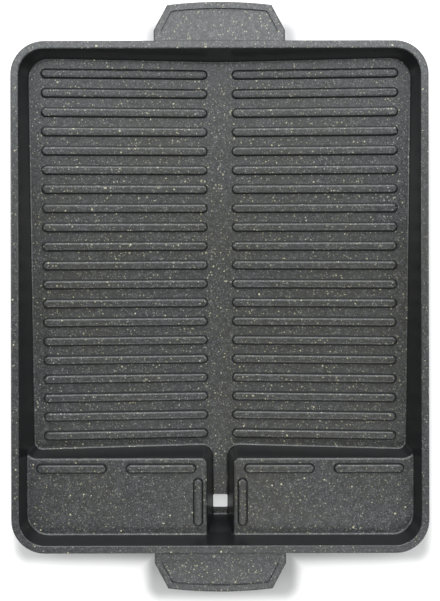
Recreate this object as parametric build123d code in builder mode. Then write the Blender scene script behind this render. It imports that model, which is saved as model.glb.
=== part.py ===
"""A cast griddle plate with a sloped, ribbed cooking floor, two raised shelves and a drain hole.

The real object is one casting. It is written here as its natural regions: a shell of even wall, the
ribs, two lug handles, a drip lip and four feet, each seated face to face on the shell. The origin is
on the table under the middle of the plate, +Y points away from the drain end and +Z points up.
"""

from build123d import *
from math import radians, tan
import os

# Overall size in millimetres, without the handles
pan_width = 310.0
pan_length = 380.0
corner_radius = 25.0

# Rim and walls
rim_width = 6.0
rim_edge_radius = 1.2
rim_band_margin = 0.8
wall_thickness = 4.0
wall_draft = 8.6

# Cooking floor, which falls to the middle and to the drain end
floor_thickness = 4.0
rear_floor_depth = 18.4
side_fall = 3.57
drain_fall = 2.09
valley_width = 16.0
floor_fillet = 1.8
underside_fillet = 2.0
underside_edge_radius = 1.6

# Raised shelves at the drain end, either side of the drain channel
shelf_depth = 15.1
shelf_run = 66.3
shelf_draft = 9.6
shelf_corner_radius = 4.6
shelf_root_radius = 7.0
shelf_edge_radius = 2.2
channel_width = 20.2
channel_end_draft = 15.0
channel_end_drop = 4.0

# Drain hole in the channel floor
drain_hole_width = 11.4
drain_hole_length = 12.2
drain_hole_corner = 1.0
drain_hole_inset = 24.5
drip_lip_width = 2.0
drip_lip_height = 1.5

# Ribs, all of one section
rib_width = 7.9
rib_height = 2.4
rib_taper = 30.0
rib_crown_radius = 2.0
rib_pitch = 14.73
rib_rear_margin = 20.4
rib_shelf_margin = 12.6
rib_side_margin = 17.8
rib_centre_gap = 18.2
cross_rib_inset = 7.6
cross_rib_gap = 14.0
cross_rib_side_margin = 15.2
cross_rib_channel_margin = 7.8
long_rib_inset = 6.8
long_rib_start = 14.6
long_rib_end_margin = 14.8

# Lug handles
handle_width = 98.0
handle_reach = 29.5
handle_cheek = 8.2
handle_tip_width = 77.8
handle_bow = 2.4
handle_thickness = 7.0
handle_drop = 2.2
handle_edge_radius = 1.5
handle_corner_radius = 4.0
handle_recess_depth = 1.4
handle_recess_border = 5.0
handle_recess_corner = 2.5

# Feet
foot_spread = 200.0
rear_foot_inset = 50.0
front_foot_inset = 90.0
foot_diameter = 12.0
foot_draft = 4.0
foot_edge_chamfer = 0.8
underside_clearance = 2.9

# Places worked out from the sizes above
half_width = pan_width / 2
half_length = pan_length / 2
mouth_width = pan_width - 2 * rim_width
mouth_length = pan_length - 2 * rim_width
mouth_radius = corner_radius - rim_width
side_slope = tan(radians(side_fall))
drain_slope = tan(radians(drain_fall))
deepest_floor = rear_floor_depth + side_slope * mouth_width / 2 + drain_slope * mouth_length
pan_height = deepest_floor + floor_thickness + underside_clearance
rim_band_height = handle_drop + handle_thickness + rim_band_margin
shelf_top = pan_height - shelf_depth
shelf_edge_y = -half_length + shelf_run
drain_hole_y = -half_length + drain_hole_inset
ribs_start_y = half_length - rib_rear_margin
ribs_end_y = shelf_edge_y + rib_shelf_margin


def floor_height(x, y):
    """Height of the sloped floor at (x, y), leaving out the rounded valley."""
    from_side = mouth_width / 2 - abs(x)
    from_rear = mouth_length / 2 - y
    return pan_height - rear_floor_depth - side_slope * from_side - drain_slope * from_rear


def floor_plane(x, y, drop=0.0):
    """The sloped floor's plane with its origin at (x, y), lowered by drop."""
    across = Vector(1, 0, side_slope if x > 0 else -side_slope)
    along = Vector(0, 1, drain_slope)
    return Plane(origin=(x, y, floor_height(x, y) - drop), x_dir=across, z_dir=across.cross(along))


def lies_flat(edge):
    """True for an edge that runs round the shape and doesn't climb a wall."""
    return abs(edge.tangent_at(0.5).Z) < 0.5


def basin(wall, floor, shelf_radius, floor_radius, root_radius=0.0):
    """The basin as a filled shape, grown outwards by wall and downwards by floor."""
    width = mouth_width + 2 * wall
    length = mouth_length + 2 * wall
    shelf_height = shelf_top - floor
    shelf_y = shelf_edge_y - wall
    shelf_inner_x = channel_width / 2 + wall
    shelf_outer_x = half_width + corner_radius
    with BuildPart() as shape:
        with BuildSketch(Plane.XY.offset(pan_height)):
            RectangleRounded(width, length, mouth_radius + wall)
        extrude(amount=-pan_height, taper=wall_draft)

        # The floor is a shallow V with a rounded valley, which falls from the rear wall to the drain
        valley_height = floor_height(0, half_length) - floor
        side_height = floor_height(width / 2, half_length) - floor
        with BuildSketch(Plane.XZ.offset(-half_length)) as section:
            with BuildLine():
                Polyline(
                    (0, valley_height),
                    (width / 2, side_height),
                    (width / 2, 2 * pan_height),
                    (-width / 2, 2 * pan_height),
                    (-width / 2, side_height),
                    close=True,
                )
            make_face()
            valley = section.vertices().sort_by(Axis.Y)[0]
            fillet(valley, radius=valley_width / 2 / side_slope)
        extrude(amount=2 * pan_length, dir=(0, -1, -drain_slope), mode=Mode.INTERSECT)

        # The wall at the end of the drain channel leans in further below the shelves
        lean_depth = shelf_depth + floor + channel_end_drop
        lean_y = -length / 2 + lean_depth * tan(radians(wall_draft))
        lean_normal = (0, -1, -tan(radians(channel_end_draft)))
        lean = Plane(origin=(0, lean_y, pan_height - lean_depth), x_dir=(1, 0, 0), z_dir=lean_normal)
        split(bisect_by=lean, keep=Keep.BOTTOM)

        # Each shelf stands up into the basin, drafted on the sides that face the ribs and channel
        for side in (-1, 1):
            shelf_front_y = -half_length - corner_radius
            with BuildSketch(Plane.XY.offset(shelf_height)) as shelf:
                with Locations(
                    (side * (shelf_inner_x + shelf_outer_x) / 2, (shelf_y + shelf_front_y) / 2)
                ):
                    Rectangle(shelf_outer_x - shelf_inner_x, shelf_y - shelf_front_y)
                corner = shelf.vertices().group_by(Axis.Y)[-1].sort_by(Axis.X)[-1 if side < 0 else 0]
                fillet(corner, radius=shelf_corner_radius + wall)
            extrude(amount=-shelf_height, taper=-shelf_draft, mode=Mode.SUBTRACT)

        if root_radius:
            upright = shape.edges().filter_by(lambda e: not lies_flat(e) and not e.is_interior)
            fillet(upright.filter_by_position(Axis.Y, shelf_y, shelf_y + corner_radius), root_radius)
        shelf_rims = shape.edges().filter_by(Edge.is_interior)
        fillet(shelf_rims.filter_by_position(Axis.Z, shelf_height, shelf_height), shelf_radius)
        floor_edges = shape.edges().filter_by(lambda e: lies_flat(e) and not e.is_interior)
        fillet(floor_edges.filter_by_position(Axis.Z, 0, shelf_height), floor_radius)
    return shape.part


inside = basin(0, 0, shelf_edge_radius, floor_fillet, shelf_root_radius)
outside = basin(wall_thickness, floor_thickness, underside_edge_radius, underside_fillet)

# Shell: the rim band round the outside shape, hollowed by the inside shape and holed for the drain
with BuildPart() as pan_body:
    with BuildSketch(Plane.XY.offset(pan_height)):
        RectangleRounded(pan_width, pan_length, corner_radius)
    extrude(amount=-rim_band_height)
    add(outside)
    add(inside, mode=Mode.SUBTRACT)
    with BuildSketch():
        with Locations((0, drain_hole_y)):
            RectangleRounded(drain_hole_width, drain_hole_length, drain_hole_corner)
    extrude(amount=pan_height, mode=Mode.SUBTRACT)
    rim_top = pan_body.faces().sort_by(Axis.Z)[-1]
    fillet(rim_top.edges(), rim_edge_radius)
pan_body.part.label = "pan_body"


def rib(length):
    """One round-ended rib with drafted flanks and a rounded crown, lying along X on the XY plane."""
    with BuildPart() as bar:
        with BuildSketch():
            SlotOverall(length, rib_width)
        extrude(amount=rib_height, taper=rib_taper)
        fillet(bar.faces().sort_by(Axis.Z)[-1].edges(), rib_crown_radius)
    return bar.part


# Ribs on the sloped floor: a bank on each side of the valley, square to the drain channel
bank_start = rib_centre_gap / 2
bank_end = half_width - rib_side_margin
bank_rib = rib(bank_end - bank_start)
rib_rows = int((ribs_start_y - ribs_end_y) / rib_pitch) + 1


def rib_bank(side):
    """The ribs on one side of the floor, each seated on that side's slope."""
    x = side * (bank_start + bank_end) / 2
    with BuildPart() as bank:
        with Locations([floor_plane(x, ribs_start_y - row * rib_pitch) for row in range(rib_rows)]):
            add(bank_rib)
    return bank.part


with BuildPart() as left_rib_bank:
    add(rib_bank(-1))
left_rib_bank.part.label = "left_rib_bank"

with BuildPart() as right_rib_bank:
    add(rib_bank(1))
right_rib_bank.part.label = "right_rib_bank"

# Ribs on the shelves: two end to end along the shelf's rear edge and one along the channel
cross_start = channel_width / 2 + cross_rib_channel_margin
cross_end = half_width - cross_rib_side_margin
cross_length = (cross_end - cross_start - cross_rib_gap) / 2
long_rib_end = -half_length + long_rib_end_margin
long_rib_length = shelf_edge_y - long_rib_start - long_rib_end
cross_rib = rib(cross_length)
long_rib = rib(long_rib_length)


def shelf_ribs(side):
    """The three ribs on one shelf."""
    cross_places = [
        (side * (start + cross_length / 2), shelf_edge_y - cross_rib_inset)
        for start in (cross_start, cross_end - cross_length)
    ]
    with BuildPart(Plane.XY.offset(shelf_top)) as ribs:
        with Locations(cross_places):
            add(cross_rib)
        with Locations((side * (channel_width / 2 + long_rib_inset), long_rib_end + long_rib_length / 2)):
            add(long_rib, rotation=(0, 0, 90))
    return ribs.part


with BuildPart() as left_shelf_ribs:
    add(shelf_ribs(-1))
left_shelf_ribs.part.label = "left_shelf_ribs"

with BuildPart() as right_shelf_ribs:
    add(shelf_ribs(1))
right_shelf_ribs.part.label = "right_shelf_ribs"

# Lug handles: a flat lug with a bowed tip and a shallow panel, seated on the rim band
with BuildPart() as rear_handle:
    with BuildSketch(Plane.XY.offset(pan_height - handle_drop)) as outline:
        cheek_y = half_length + handle_cheek
        tip_y = half_length + handle_reach - handle_bow
        with BuildLine():
            Polyline(
                (-handle_tip_width / 2, tip_y),
                (-handle_width / 2, cheek_y),
                (-handle_width / 2, half_length),
                (handle_width / 2, half_length),
                (handle_width / 2, cheek_y),
                (handle_tip_width / 2, tip_y),
            )
            ThreePointArc(
                (handle_tip_width / 2, tip_y),
                (0, half_length + handle_reach),
                (-handle_tip_width / 2, tip_y),
            )
        make_face()
        fillet(outline.vertices().filter_by_position(Axis.Y, cheek_y, tip_y), handle_corner_radius)
    extrude(amount=-handle_thickness)
    free_edges = rear_handle.edges().filter_by(lies_flat).filter_by(
        lambda e: e.center().Y > half_length + handle_edge_radius
    )
    fillet(free_edges, handle_edge_radius)
    with BuildSketch(Plane.XY.offset(pan_height - handle_drop)):
        offset(outline.sketch, amount=-handle_recess_border - handle_recess_corner)
        offset(amount=handle_recess_corner)
    extrude(amount=-handle_recess_depth, mode=Mode.SUBTRACT)
rear_handle.part.label = "rear_handle"

with BuildPart() as front_handle:
    mirror(rear_handle.part, about=Plane.XZ)
front_handle.part.label = "front_handle"

# Drip lip: a collar under the drain hole, shaped to the rounded underside
with BuildPart() as drain_lip:
    lip_length = drain_hole_length + 2 * drip_lip_width
    lowest_underside = floor_height(0, drain_hole_y - lip_length / 2) - floor_thickness
    with BuildSketch(Plane.XY.offset(lowest_underside - drip_lip_height)):
        with Locations((0, drain_hole_y)):
            RectangleRounded(
                drain_hole_width + 2 * drip_lip_width, lip_length, drain_hole_corner + drip_lip_width
            )
            RectangleRounded(
                drain_hole_width, drain_hole_length, drain_hole_corner, mode=Mode.SUBTRACT
            )
    extrude(amount=drip_lip_height + floor_thickness)
    add(outside, mode=Mode.SUBTRACT)
drain_lip.part.label = "drain_lip"


def foot(x, y):
    """One round cast leg, drafted wider towards the underside that cuts its top."""
    underside = floor_plane(x, y, drop=floor_thickness)
    with BuildPart() as leg:
        with BuildSketch():
            with Locations((x, y)):
                Circle(foot_diameter / 2)
        extrude(amount=pan_height, taper=-foot_draft)
        chamfer(leg.faces().sort_by(Axis.Z)[0].edges(), foot_edge_chamfer)
        split(bisect_by=underside, keep=Keep.BOTTOM)
    return leg.part


with BuildPart() as rear_left_foot:
    add(foot(-foot_spread / 2, half_length - rear_foot_inset))
rear_left_foot.part.label = "rear_left_foot"

with BuildPart() as rear_right_foot:
    add(foot(foot_spread / 2, half_length - rear_foot_inset))
rear_right_foot.part.label = "rear_right_foot"

with BuildPart() as front_left_foot:
    add(foot(-foot_spread / 2, -half_length + front_foot_inset))
front_left_foot.part.label = "front_left_foot"

with BuildPart() as front_right_foot:
    add(foot(foot_spread / 2, -half_length + front_foot_inset))
front_right_foot.part.label = "front_right_foot"

pieces = [
    pan_body,
    left_rib_bank,
    right_rib_bank,
    left_shelf_ribs,
    right_shelf_ribs,
    rear_handle,
    front_handle,
    drain_lip,
    rear_left_foot,
    rear_right_foot,
    front_left_foot,
    front_right_foot,
]
os.makedirs("parts", exist_ok=True)
for piece in pieces:
    export_step(piece.part, f"parts/{piece.part.label}.step")
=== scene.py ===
"""A cast griddle plate in a speckled dark coating, seen from straight above on a white floor.

Every length is in metres, and every colour is linear red, green, blue and alpha.
"""

import bpy
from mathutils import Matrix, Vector


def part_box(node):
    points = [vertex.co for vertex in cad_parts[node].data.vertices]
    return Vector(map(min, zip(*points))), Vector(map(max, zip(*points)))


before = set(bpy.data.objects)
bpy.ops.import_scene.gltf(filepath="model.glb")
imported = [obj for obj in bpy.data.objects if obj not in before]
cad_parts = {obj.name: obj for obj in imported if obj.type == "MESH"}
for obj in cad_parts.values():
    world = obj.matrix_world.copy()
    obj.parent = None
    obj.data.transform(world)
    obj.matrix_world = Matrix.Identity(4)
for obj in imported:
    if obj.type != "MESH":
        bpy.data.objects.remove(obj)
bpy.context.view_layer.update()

# Camera: straight above the rear half, with the frame shifted towards the drain end
CAMERA_PLACE = (0.0002, 0.0507, 0.6212)
CAMERA_ROLL = -0.0022
CAMERA_CLIP_START = 0.01
LENS_MM = 46.42
SENSOR_MM = 36.0
SHIFT_Y = -0.1198

# Corners of the casting that the coating and the floor refer to, read from the frame
PAN_CORNER = Vector(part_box("pan_body")[1])
HANDLE_CORNER = Vector(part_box("rear_handle")[1])

# Flecks miss the steep faces inside the pan, where the normal's Z is under STEEP_UP, and those
# faces, the inner walls and the rib flanks, get a near-black painted shade. The outer wall and the
# handles keep their flecks and coat, as they lie past OUTER_SHARE of the pan's half width or half
# length.
STEEP_UP = (0.55, 0.85)
OUTER_SHARE = (0.985, 0.995)
# Painted shade: a near-black colour that stands in for the shade on the steep faces inside the pan
STEEP_COLOUR = (0.009, 0.0095, 0.0105, 1.0)

# Base coat: a fine grain, lighter blotches, and a warm tint over the middle of the pan
GRAIN_SCALE = 750.0
GRAIN_RANGE = (0.36, 0.66)
GRAIN_DARK = (0.012, 0.014, 0.017, 1.0)
GRAIN_LIGHT = (0.074, 0.080, 0.086, 1.0)
BLOTCH_SCALE = 260.0
BLOTCH_RANGE = (0.45, 0.75)
BLOTCH_SHARE = 0.35
BLOTCH_COLOUR = (0.12, 0.125, 0.13, 1.0)
PATCH_SCALE = 22.0
PATCH_RANGE = (0.3, 0.7)
PATCH_LEAST = 0.4
WARM_CENTRE = (0.0, -0.02, 0.0)
WARM_REACH = (0.27, 0.12)
WARM_SHARE = 0.7
WARM_COLOUR = (0.040, 0.040, 0.031, 1.0)

# Flecks: the size of the cells that may hold one, the largest radius, and the share that do
FINE_FLECKS = (0.0014, 0.00048, 0.9)
MEDIUM_FLECKS = (0.0025, 0.00055, 0.85)
LARGE_FLECKS = (0.0055, 0.00072, 0.60)
FLECK_SOFTNESS = 0.25
FLECK_LEAST = 0.45
FINE_SHARE = 0.6
FINE_COLOUR = (0.30, 0.31, 0.295, 1.0)
CREAM_RANGE = (0.32, 0.56)
CREAM_PALE = (0.50, 0.50, 0.43, 1.0)
CREAM_WARM = (0.46, 0.44, 0.27, 1.0)
LARGE_COLOUR = (0.62, 0.59, 0.40, 1.0)
WOBBLE_SCALE = 900.0
WOBBLE_REACH = 0.0012

# Gloss and surface of the coating
ROUGHNESS_GRAIN = (0.2, 0.8)
ROUGHNESS = (0.36, 0.46)
SPECULAR_LEVEL = 0.5
COAT_WEIGHT = 0.45
COAT_ROUGHNESS = 0.2
BUMP_SCALE = 1100.0
BUMP_STRENGTH = 0.25
BUMP_DISTANCE = 0.00025

# Floor: its own colour, and a glow that only the camera, reflections and see-through rays see. The
# glow is low under the plate and rises over SHADE_REACH outside its outline, which paints a soft
# shadow there over the real cast shadow. SHADE_SHIFT moves that outline, and so the painted shadow,
# towards the drain end.
FLOOR_HALF = 3.0
FLOOR_COLOUR = 0.66
FLOOR_GLOW = 0.05
OPEN_GLOW = 0.62
SHADE_REACH = (0.005, 0.018)
SHADE_SHIFT = (-0.0015, 0.015, 0.0)

# A spot of glow under the drain hole, for rays from the camera alone: painted light that lifts the
# plate's shadow on the floor seen through the hole
DRAIN_HOLE = (0.0, -0.1655, 0.0)
HOLE_GLOW = 0.42
HOLE_REACH = (0.04, 0.015)

# Soft boxes on four sides with nothing straight above: name, place, (width, height), watts, colour
COOL = (0.97, 0.99, 1.0)
NEUTRAL = (1.0, 1.0, 1.0)
LAMPS = (
    ("rear_softbox", (0.0, 1.0, 1.3), (2.2, 0.5), 9.0, COOL),
    ("rear_high_softbox", (0.0, 0.6, 1.75), (1.6, 0.3), 8.5, COOL),
    ("rear_low_softbox", (0.0, 1.5, 0.95), (1.8, 0.5), 18.0, COOL),
    ("front_softbox", (0.1, -1.0, 1.3), (1.0, 0.5), 4.6, NEUTRAL),
    ("left_softbox", (-1.25, 0.1, 1.15), (0.3, 1.0), 6.0, NEUTRAL),
    ("right_softbox", (1.25, 0.0, 1.15), (0.3, 1.0), 6.0, NEUTRAL),
)
LAMP_AIM = (0.0, 0.0, 0.0)
WORLD_STRENGTH = 0.12


class Graph:
    """Short calls for building one material's node tree."""

    def __init__(self, name):
        self.material = bpy.data.materials.new(name)
        self.material.use_nodes = True
        self.tree = self.material.node_tree
        self.tree.nodes.clear()

    def fill(self, socket, value):
        """Links value to the socket if it is a socket too, and otherwise writes it there."""
        if isinstance(value, bpy.types.NodeSocket):
            self.tree.links.new(value, socket)
        else:
            socket.default_value = value

    def node(self, kind, inputs=None, **settings):
        """Adds a node, sets its properties, and fills its inputs by name or number."""
        made = self.tree.nodes.new(kind)
        for key, value in settings.items():
            setattr(made, key, value)
        for key, value in (inputs or {}).items():
            self.fill(made.inputs[key], value)
        return made

    def math(self, operation, a, b=0.0):
        return self.node("ShaderNodeMath", {0: a, 1: b}, operation=operation).outputs[0]

    def vector(self, operation, a, b=(0.0, 0.0, 0.0)):
        made = self.node("ShaderNodeVectorMath", {0: a, 1: b}, operation=operation)
        return made.outputs["Vector"]

    def distance(self, a, b=(0.0, 0.0, 0.0)):
        made = self.node("ShaderNodeVectorMath", {0: a, 1: b}, operation="DISTANCE")
        return made.outputs["Value"]

    def ramp(self, value, low, high, to_low=0.0, to_high=1.0):
        """Maps value from the range low..high to to_low..to_high, smoothly and clamped."""
        made = self.node(
            "ShaderNodeMapRange",
            {"Value": value, "From Min": low, "From Max": high, "To Min": to_low, "To Max": to_high},
            interpolation_type="SMOOTHSTEP",
        )
        return made.outputs["Result"]

    def mix(self, factor, a, b):
        """Colour a where factor is 0, and colour b where it is 1."""
        made = self.node("ShaderNodeMix", data_type="RGBA")
        for name, value in (("Factor", factor), ("A", a), ("B", b)):
            self.fill(next(s for s in made.inputs if s.name == name and s.enabled), value)
        return next(s for s in made.outputs if s.enabled)

    def noise(self, place, scale, detail, roughness=0.5, output="Fac"):
        made = self.node(
            "ShaderNodeTexNoise",
            {"Vector": place, "Scale": scale, "Detail": detail, "Roughness": roughness},
        )
        return made.outputs[output]


def grey(level):
    return (level, level, level, 1.0)


def flecks(graph, place, cell, size, share):
    """A mask of small irregular flecks, one in some of the cells, each of its own size and level."""
    cells = graph.node(
        "ShaderNodeTexVoronoi",
        {"Vector": place, "Scale": 1.0 / cell, "Randomness": 1.0},
        voronoi_dimensions="3D",
        feature="F1",
    )
    random = graph.node("ShaderNodeSeparateColor", {"Color": cells.outputs["Color"]})
    present = graph.math("LESS_THAN", random.outputs["Red"], share)
    largest = size / cell
    radius = graph.ramp(random.outputs["Green"], 0.0, 1.0, FLECK_LEAST * largest, largest)
    inside = graph.math("DIVIDE", cells.outputs["Distance"], radius)
    dot = graph.ramp(inside, 1.0 + FLECK_SOFTNESS, 1.0 - FLECK_SOFTNESS)
    bright = graph.ramp(random.outputs["Blue"], 0.0, 1.0, FLECK_LEAST, 1.0)
    return graph.math("MULTIPLY", graph.math("MULTIPLY", dot, present), bright)


def fleck_and_shade_mask(g, place, normal):
    """1 where the coating shows its flecks, and 0 on the steep faces inside the pan, which get a
    near-black painted shade.
    """
    up = g.node("ShaderNodeSeparateXYZ", {0: normal}).outputs["Z"]
    spot = g.node("ShaderNodeSeparateXYZ", {0: place})
    across = g.math("DIVIDE", g.math("ABSOLUTE", spot.outputs["X"]), PAN_CORNER.x)
    along = g.math("DIVIDE", g.math("ABSOLUTE", spot.outputs["Y"]), PAN_CORNER.y)
    outer = g.ramp(g.math("MAXIMUM", across, along), *OUTER_SHARE)
    return g.math("MAXIMUM", g.ramp(up, *STEEP_UP), outer)


def coating():
    """Dark blue-grey non-stick coating with sprayed pale and cream flecks, and a near-black painted
    shade on the steep faces inside the pan.
    """
    g = Graph("speckled_coating")
    axes = g.node("ShaderNodeTexCoord")
    place = axes.outputs["Object"]
    mask = fleck_and_shade_mask(g, place, axes.outputs["Normal"])

    patches = g.noise(place, PATCH_SCALE, 3.0)
    middle = g.ramp(g.distance(place, WARM_CENTRE), *WARM_REACH)
    warm = g.math("MULTIPLY", middle, g.ramp(patches, *PATCH_RANGE, PATCH_LEAST, 1.0))
    grain = g.noise(place, GRAIN_SCALE, 3.0, 0.75)
    blotch = g.noise(place, BLOTCH_SCALE, 3.0, 0.6)
    base = g.mix(g.ramp(grain, *GRAIN_RANGE), GRAIN_DARK, GRAIN_LIGHT)
    base = g.mix(g.math("MULTIPLY", warm, WARM_SHARE), base, WARM_COLOUR)
    base = g.mix(g.ramp(blotch, *BLOTCH_RANGE, 0.0, BLOTCH_SHARE), base, BLOTCH_COLOUR)

    # A small random push tears the round outlines of the flecks
    wobble = g.noise(place, WOBBLE_SCALE, 1.0, output="Color")
    push = g.vector("SUBTRACT", wobble, (0.5, 0.5, 0.5))
    push = g.vector("MULTIPLY", push, (WOBBLE_REACH, WOBBLE_REACH, WOBBLE_REACH))
    torn = g.vector("ADD", place, push)
    cream = g.mix(g.ramp(patches, *CREAM_RANGE), CREAM_PALE, CREAM_WARM)
    fine = g.math("MULTIPLY", flecks(g, torn, *FINE_FLECKS), FINE_SHARE)
    colour = g.mix(fine, base, FINE_COLOUR)
    colour = g.mix(flecks(g, torn, *MEDIUM_FLECKS), colour, cream)
    colour = g.mix(flecks(g, torn, *LARGE_FLECKS), colour, LARGE_COLOUR)
    # Painted shade: the steep faces inside the pan turn near-black instead of showing the coat and
    # flecks
    colour = g.mix(mask, STEEP_COLOUR, colour)

    height = g.noise(place, BUMP_SCALE, 2.0, 0.6)
    bump = g.node(
        "ShaderNodeBump",
        {"Strength": BUMP_STRENGTH, "Distance": BUMP_DISTANCE, "Height": height},
    )
    shader = g.node(
        "ShaderNodeBsdfPrincipled",
        {
            "Base Color": colour,
            "Roughness": g.ramp(grain, *ROUGHNESS_GRAIN, *ROUGHNESS),
            "Specular IOR Level": SPECULAR_LEVEL,
            "Coat Weight": COAT_WEIGHT,
            "Coat Roughness": COAT_ROUGHNESS,
            "Normal": bump.outputs["Normal"],
        },
    )
    g.node("ShaderNodeOutputMaterial", {"Surface": shader.outputs[0]})
    return g.material


def floor_material():
    """Floor that the camera sees as white, except for a soft shadow round the plate, partly cast and
    partly painted by a drop in its glow.
    """
    g = Graph("white_floor")
    rays = g.node("ShaderNodeLightPath")
    seen = g.math("MAXIMUM", rays.outputs["Is Camera Ray"], rays.outputs["Is Glossy Ray"])
    seen = g.math("MAXIMUM", seen, rays.outputs["Is Transmission Ray"])
    place = g.node("ShaderNodeTexCoord").outputs["Object"]

    # Painted shadow: the glow drops near the plate's outline, shifted towards the drain end
    folded = g.vector("ABSOLUTE", g.vector("ADD", place, SHADE_SHIFT))
    away = []
    for corner in (PAN_CORNER, HANDLE_CORNER):
        beyond = g.vector("SUBTRACT", folded, (corner.x, corner.y, 0.0))
        away.append(g.distance(g.vector("MAXIMUM", beyond)))
    strength = g.ramp(g.math("MINIMUM", *away), *SHADE_REACH, FLOOR_GLOW, OPEN_GLOW)
    strength = g.math("MULTIPLY", seen, strength)

    # Painted light: the glow spot on the floor under the drain hole
    under_hole = g.ramp(g.distance(place, DRAIN_HOLE), *HOLE_REACH, 0.0, HOLE_GLOW)
    under_hole = g.math("MULTIPLY", under_hole, rays.outputs["Is Camera Ray"])
    strength = g.math("ADD", strength, under_hole)

    paint = g.node("ShaderNodeBsdfDiffuse", {"Color": grey(FLOOR_COLOUR)})
    glow = g.node("ShaderNodeEmission", {"Color": grey(1.0), "Strength": strength})
    both = g.node("ShaderNodeAddShader", {0: paint.outputs[0], 1: glow.outputs[0]})
    g.node("ShaderNodeOutputMaterial", {"Surface": both.outputs[0]})
    return g.material


def make_floor():
    corners = [(x * FLOOR_HALF, y * FLOOR_HALF, 0) for x, y in ((-1, -1), (1, -1), (1, 1), (-1, 1))]
    mesh = bpy.data.meshes.new("floor")
    mesh.from_pydata(corners, [], [(0, 1, 2, 3)])
    mesh.materials.append(floor_material())
    floor = bpy.data.objects.new("floor", mesh)
    bpy.context.scene.collection.objects.link(floor)


def make_lights():
    """The soft boxes, each aimed at the plate, and a weak even light from the world."""
    for name, place, size, power, colour in LAMPS:
        lamp = bpy.data.lights.new(name, "AREA")
        lamp.shape = "RECTANGLE"
        lamp.size, lamp.size_y = size
        lamp.energy = power
        lamp.color = colour
        box = bpy.data.objects.new(name, lamp)
        box.location = place
        aim = Vector(LAMP_AIM) - Vector(place)
        box.rotation_euler = aim.to_track_quat("-Z", "Y").to_euler()
        bpy.context.scene.collection.objects.link(box)
    world = bpy.data.worlds.new("studio")
    world.use_nodes = True
    background = world.node_tree.nodes["Background"]
    background.inputs["Color"].default_value = grey(1.0)
    background.inputs["Strength"].default_value = WORLD_STRENGTH
    bpy.context.scene.world = world


def make_camera():
    camera = bpy.data.cameras.new("camera")
    camera.sensor_width = SENSOR_MM
    camera.lens = LENS_MM
    camera.shift_y = SHIFT_Y
    camera.clip_start = CAMERA_CLIP_START
    eye = bpy.data.objects.new("camera", camera)
    eye.location = CAMERA_PLACE
    eye.rotation_euler = (0.0, 0.0, CAMERA_ROLL)
    bpy.context.scene.collection.objects.link(eye)
    bpy.context.scene.camera = eye


coat = coating()
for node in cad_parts.values():
    node.data.materials.clear()
    node.data.materials.append(coat)

make_floor()
make_lights()
make_camera()
bpy.context.scene.view_settings.view_transform = "Standard"
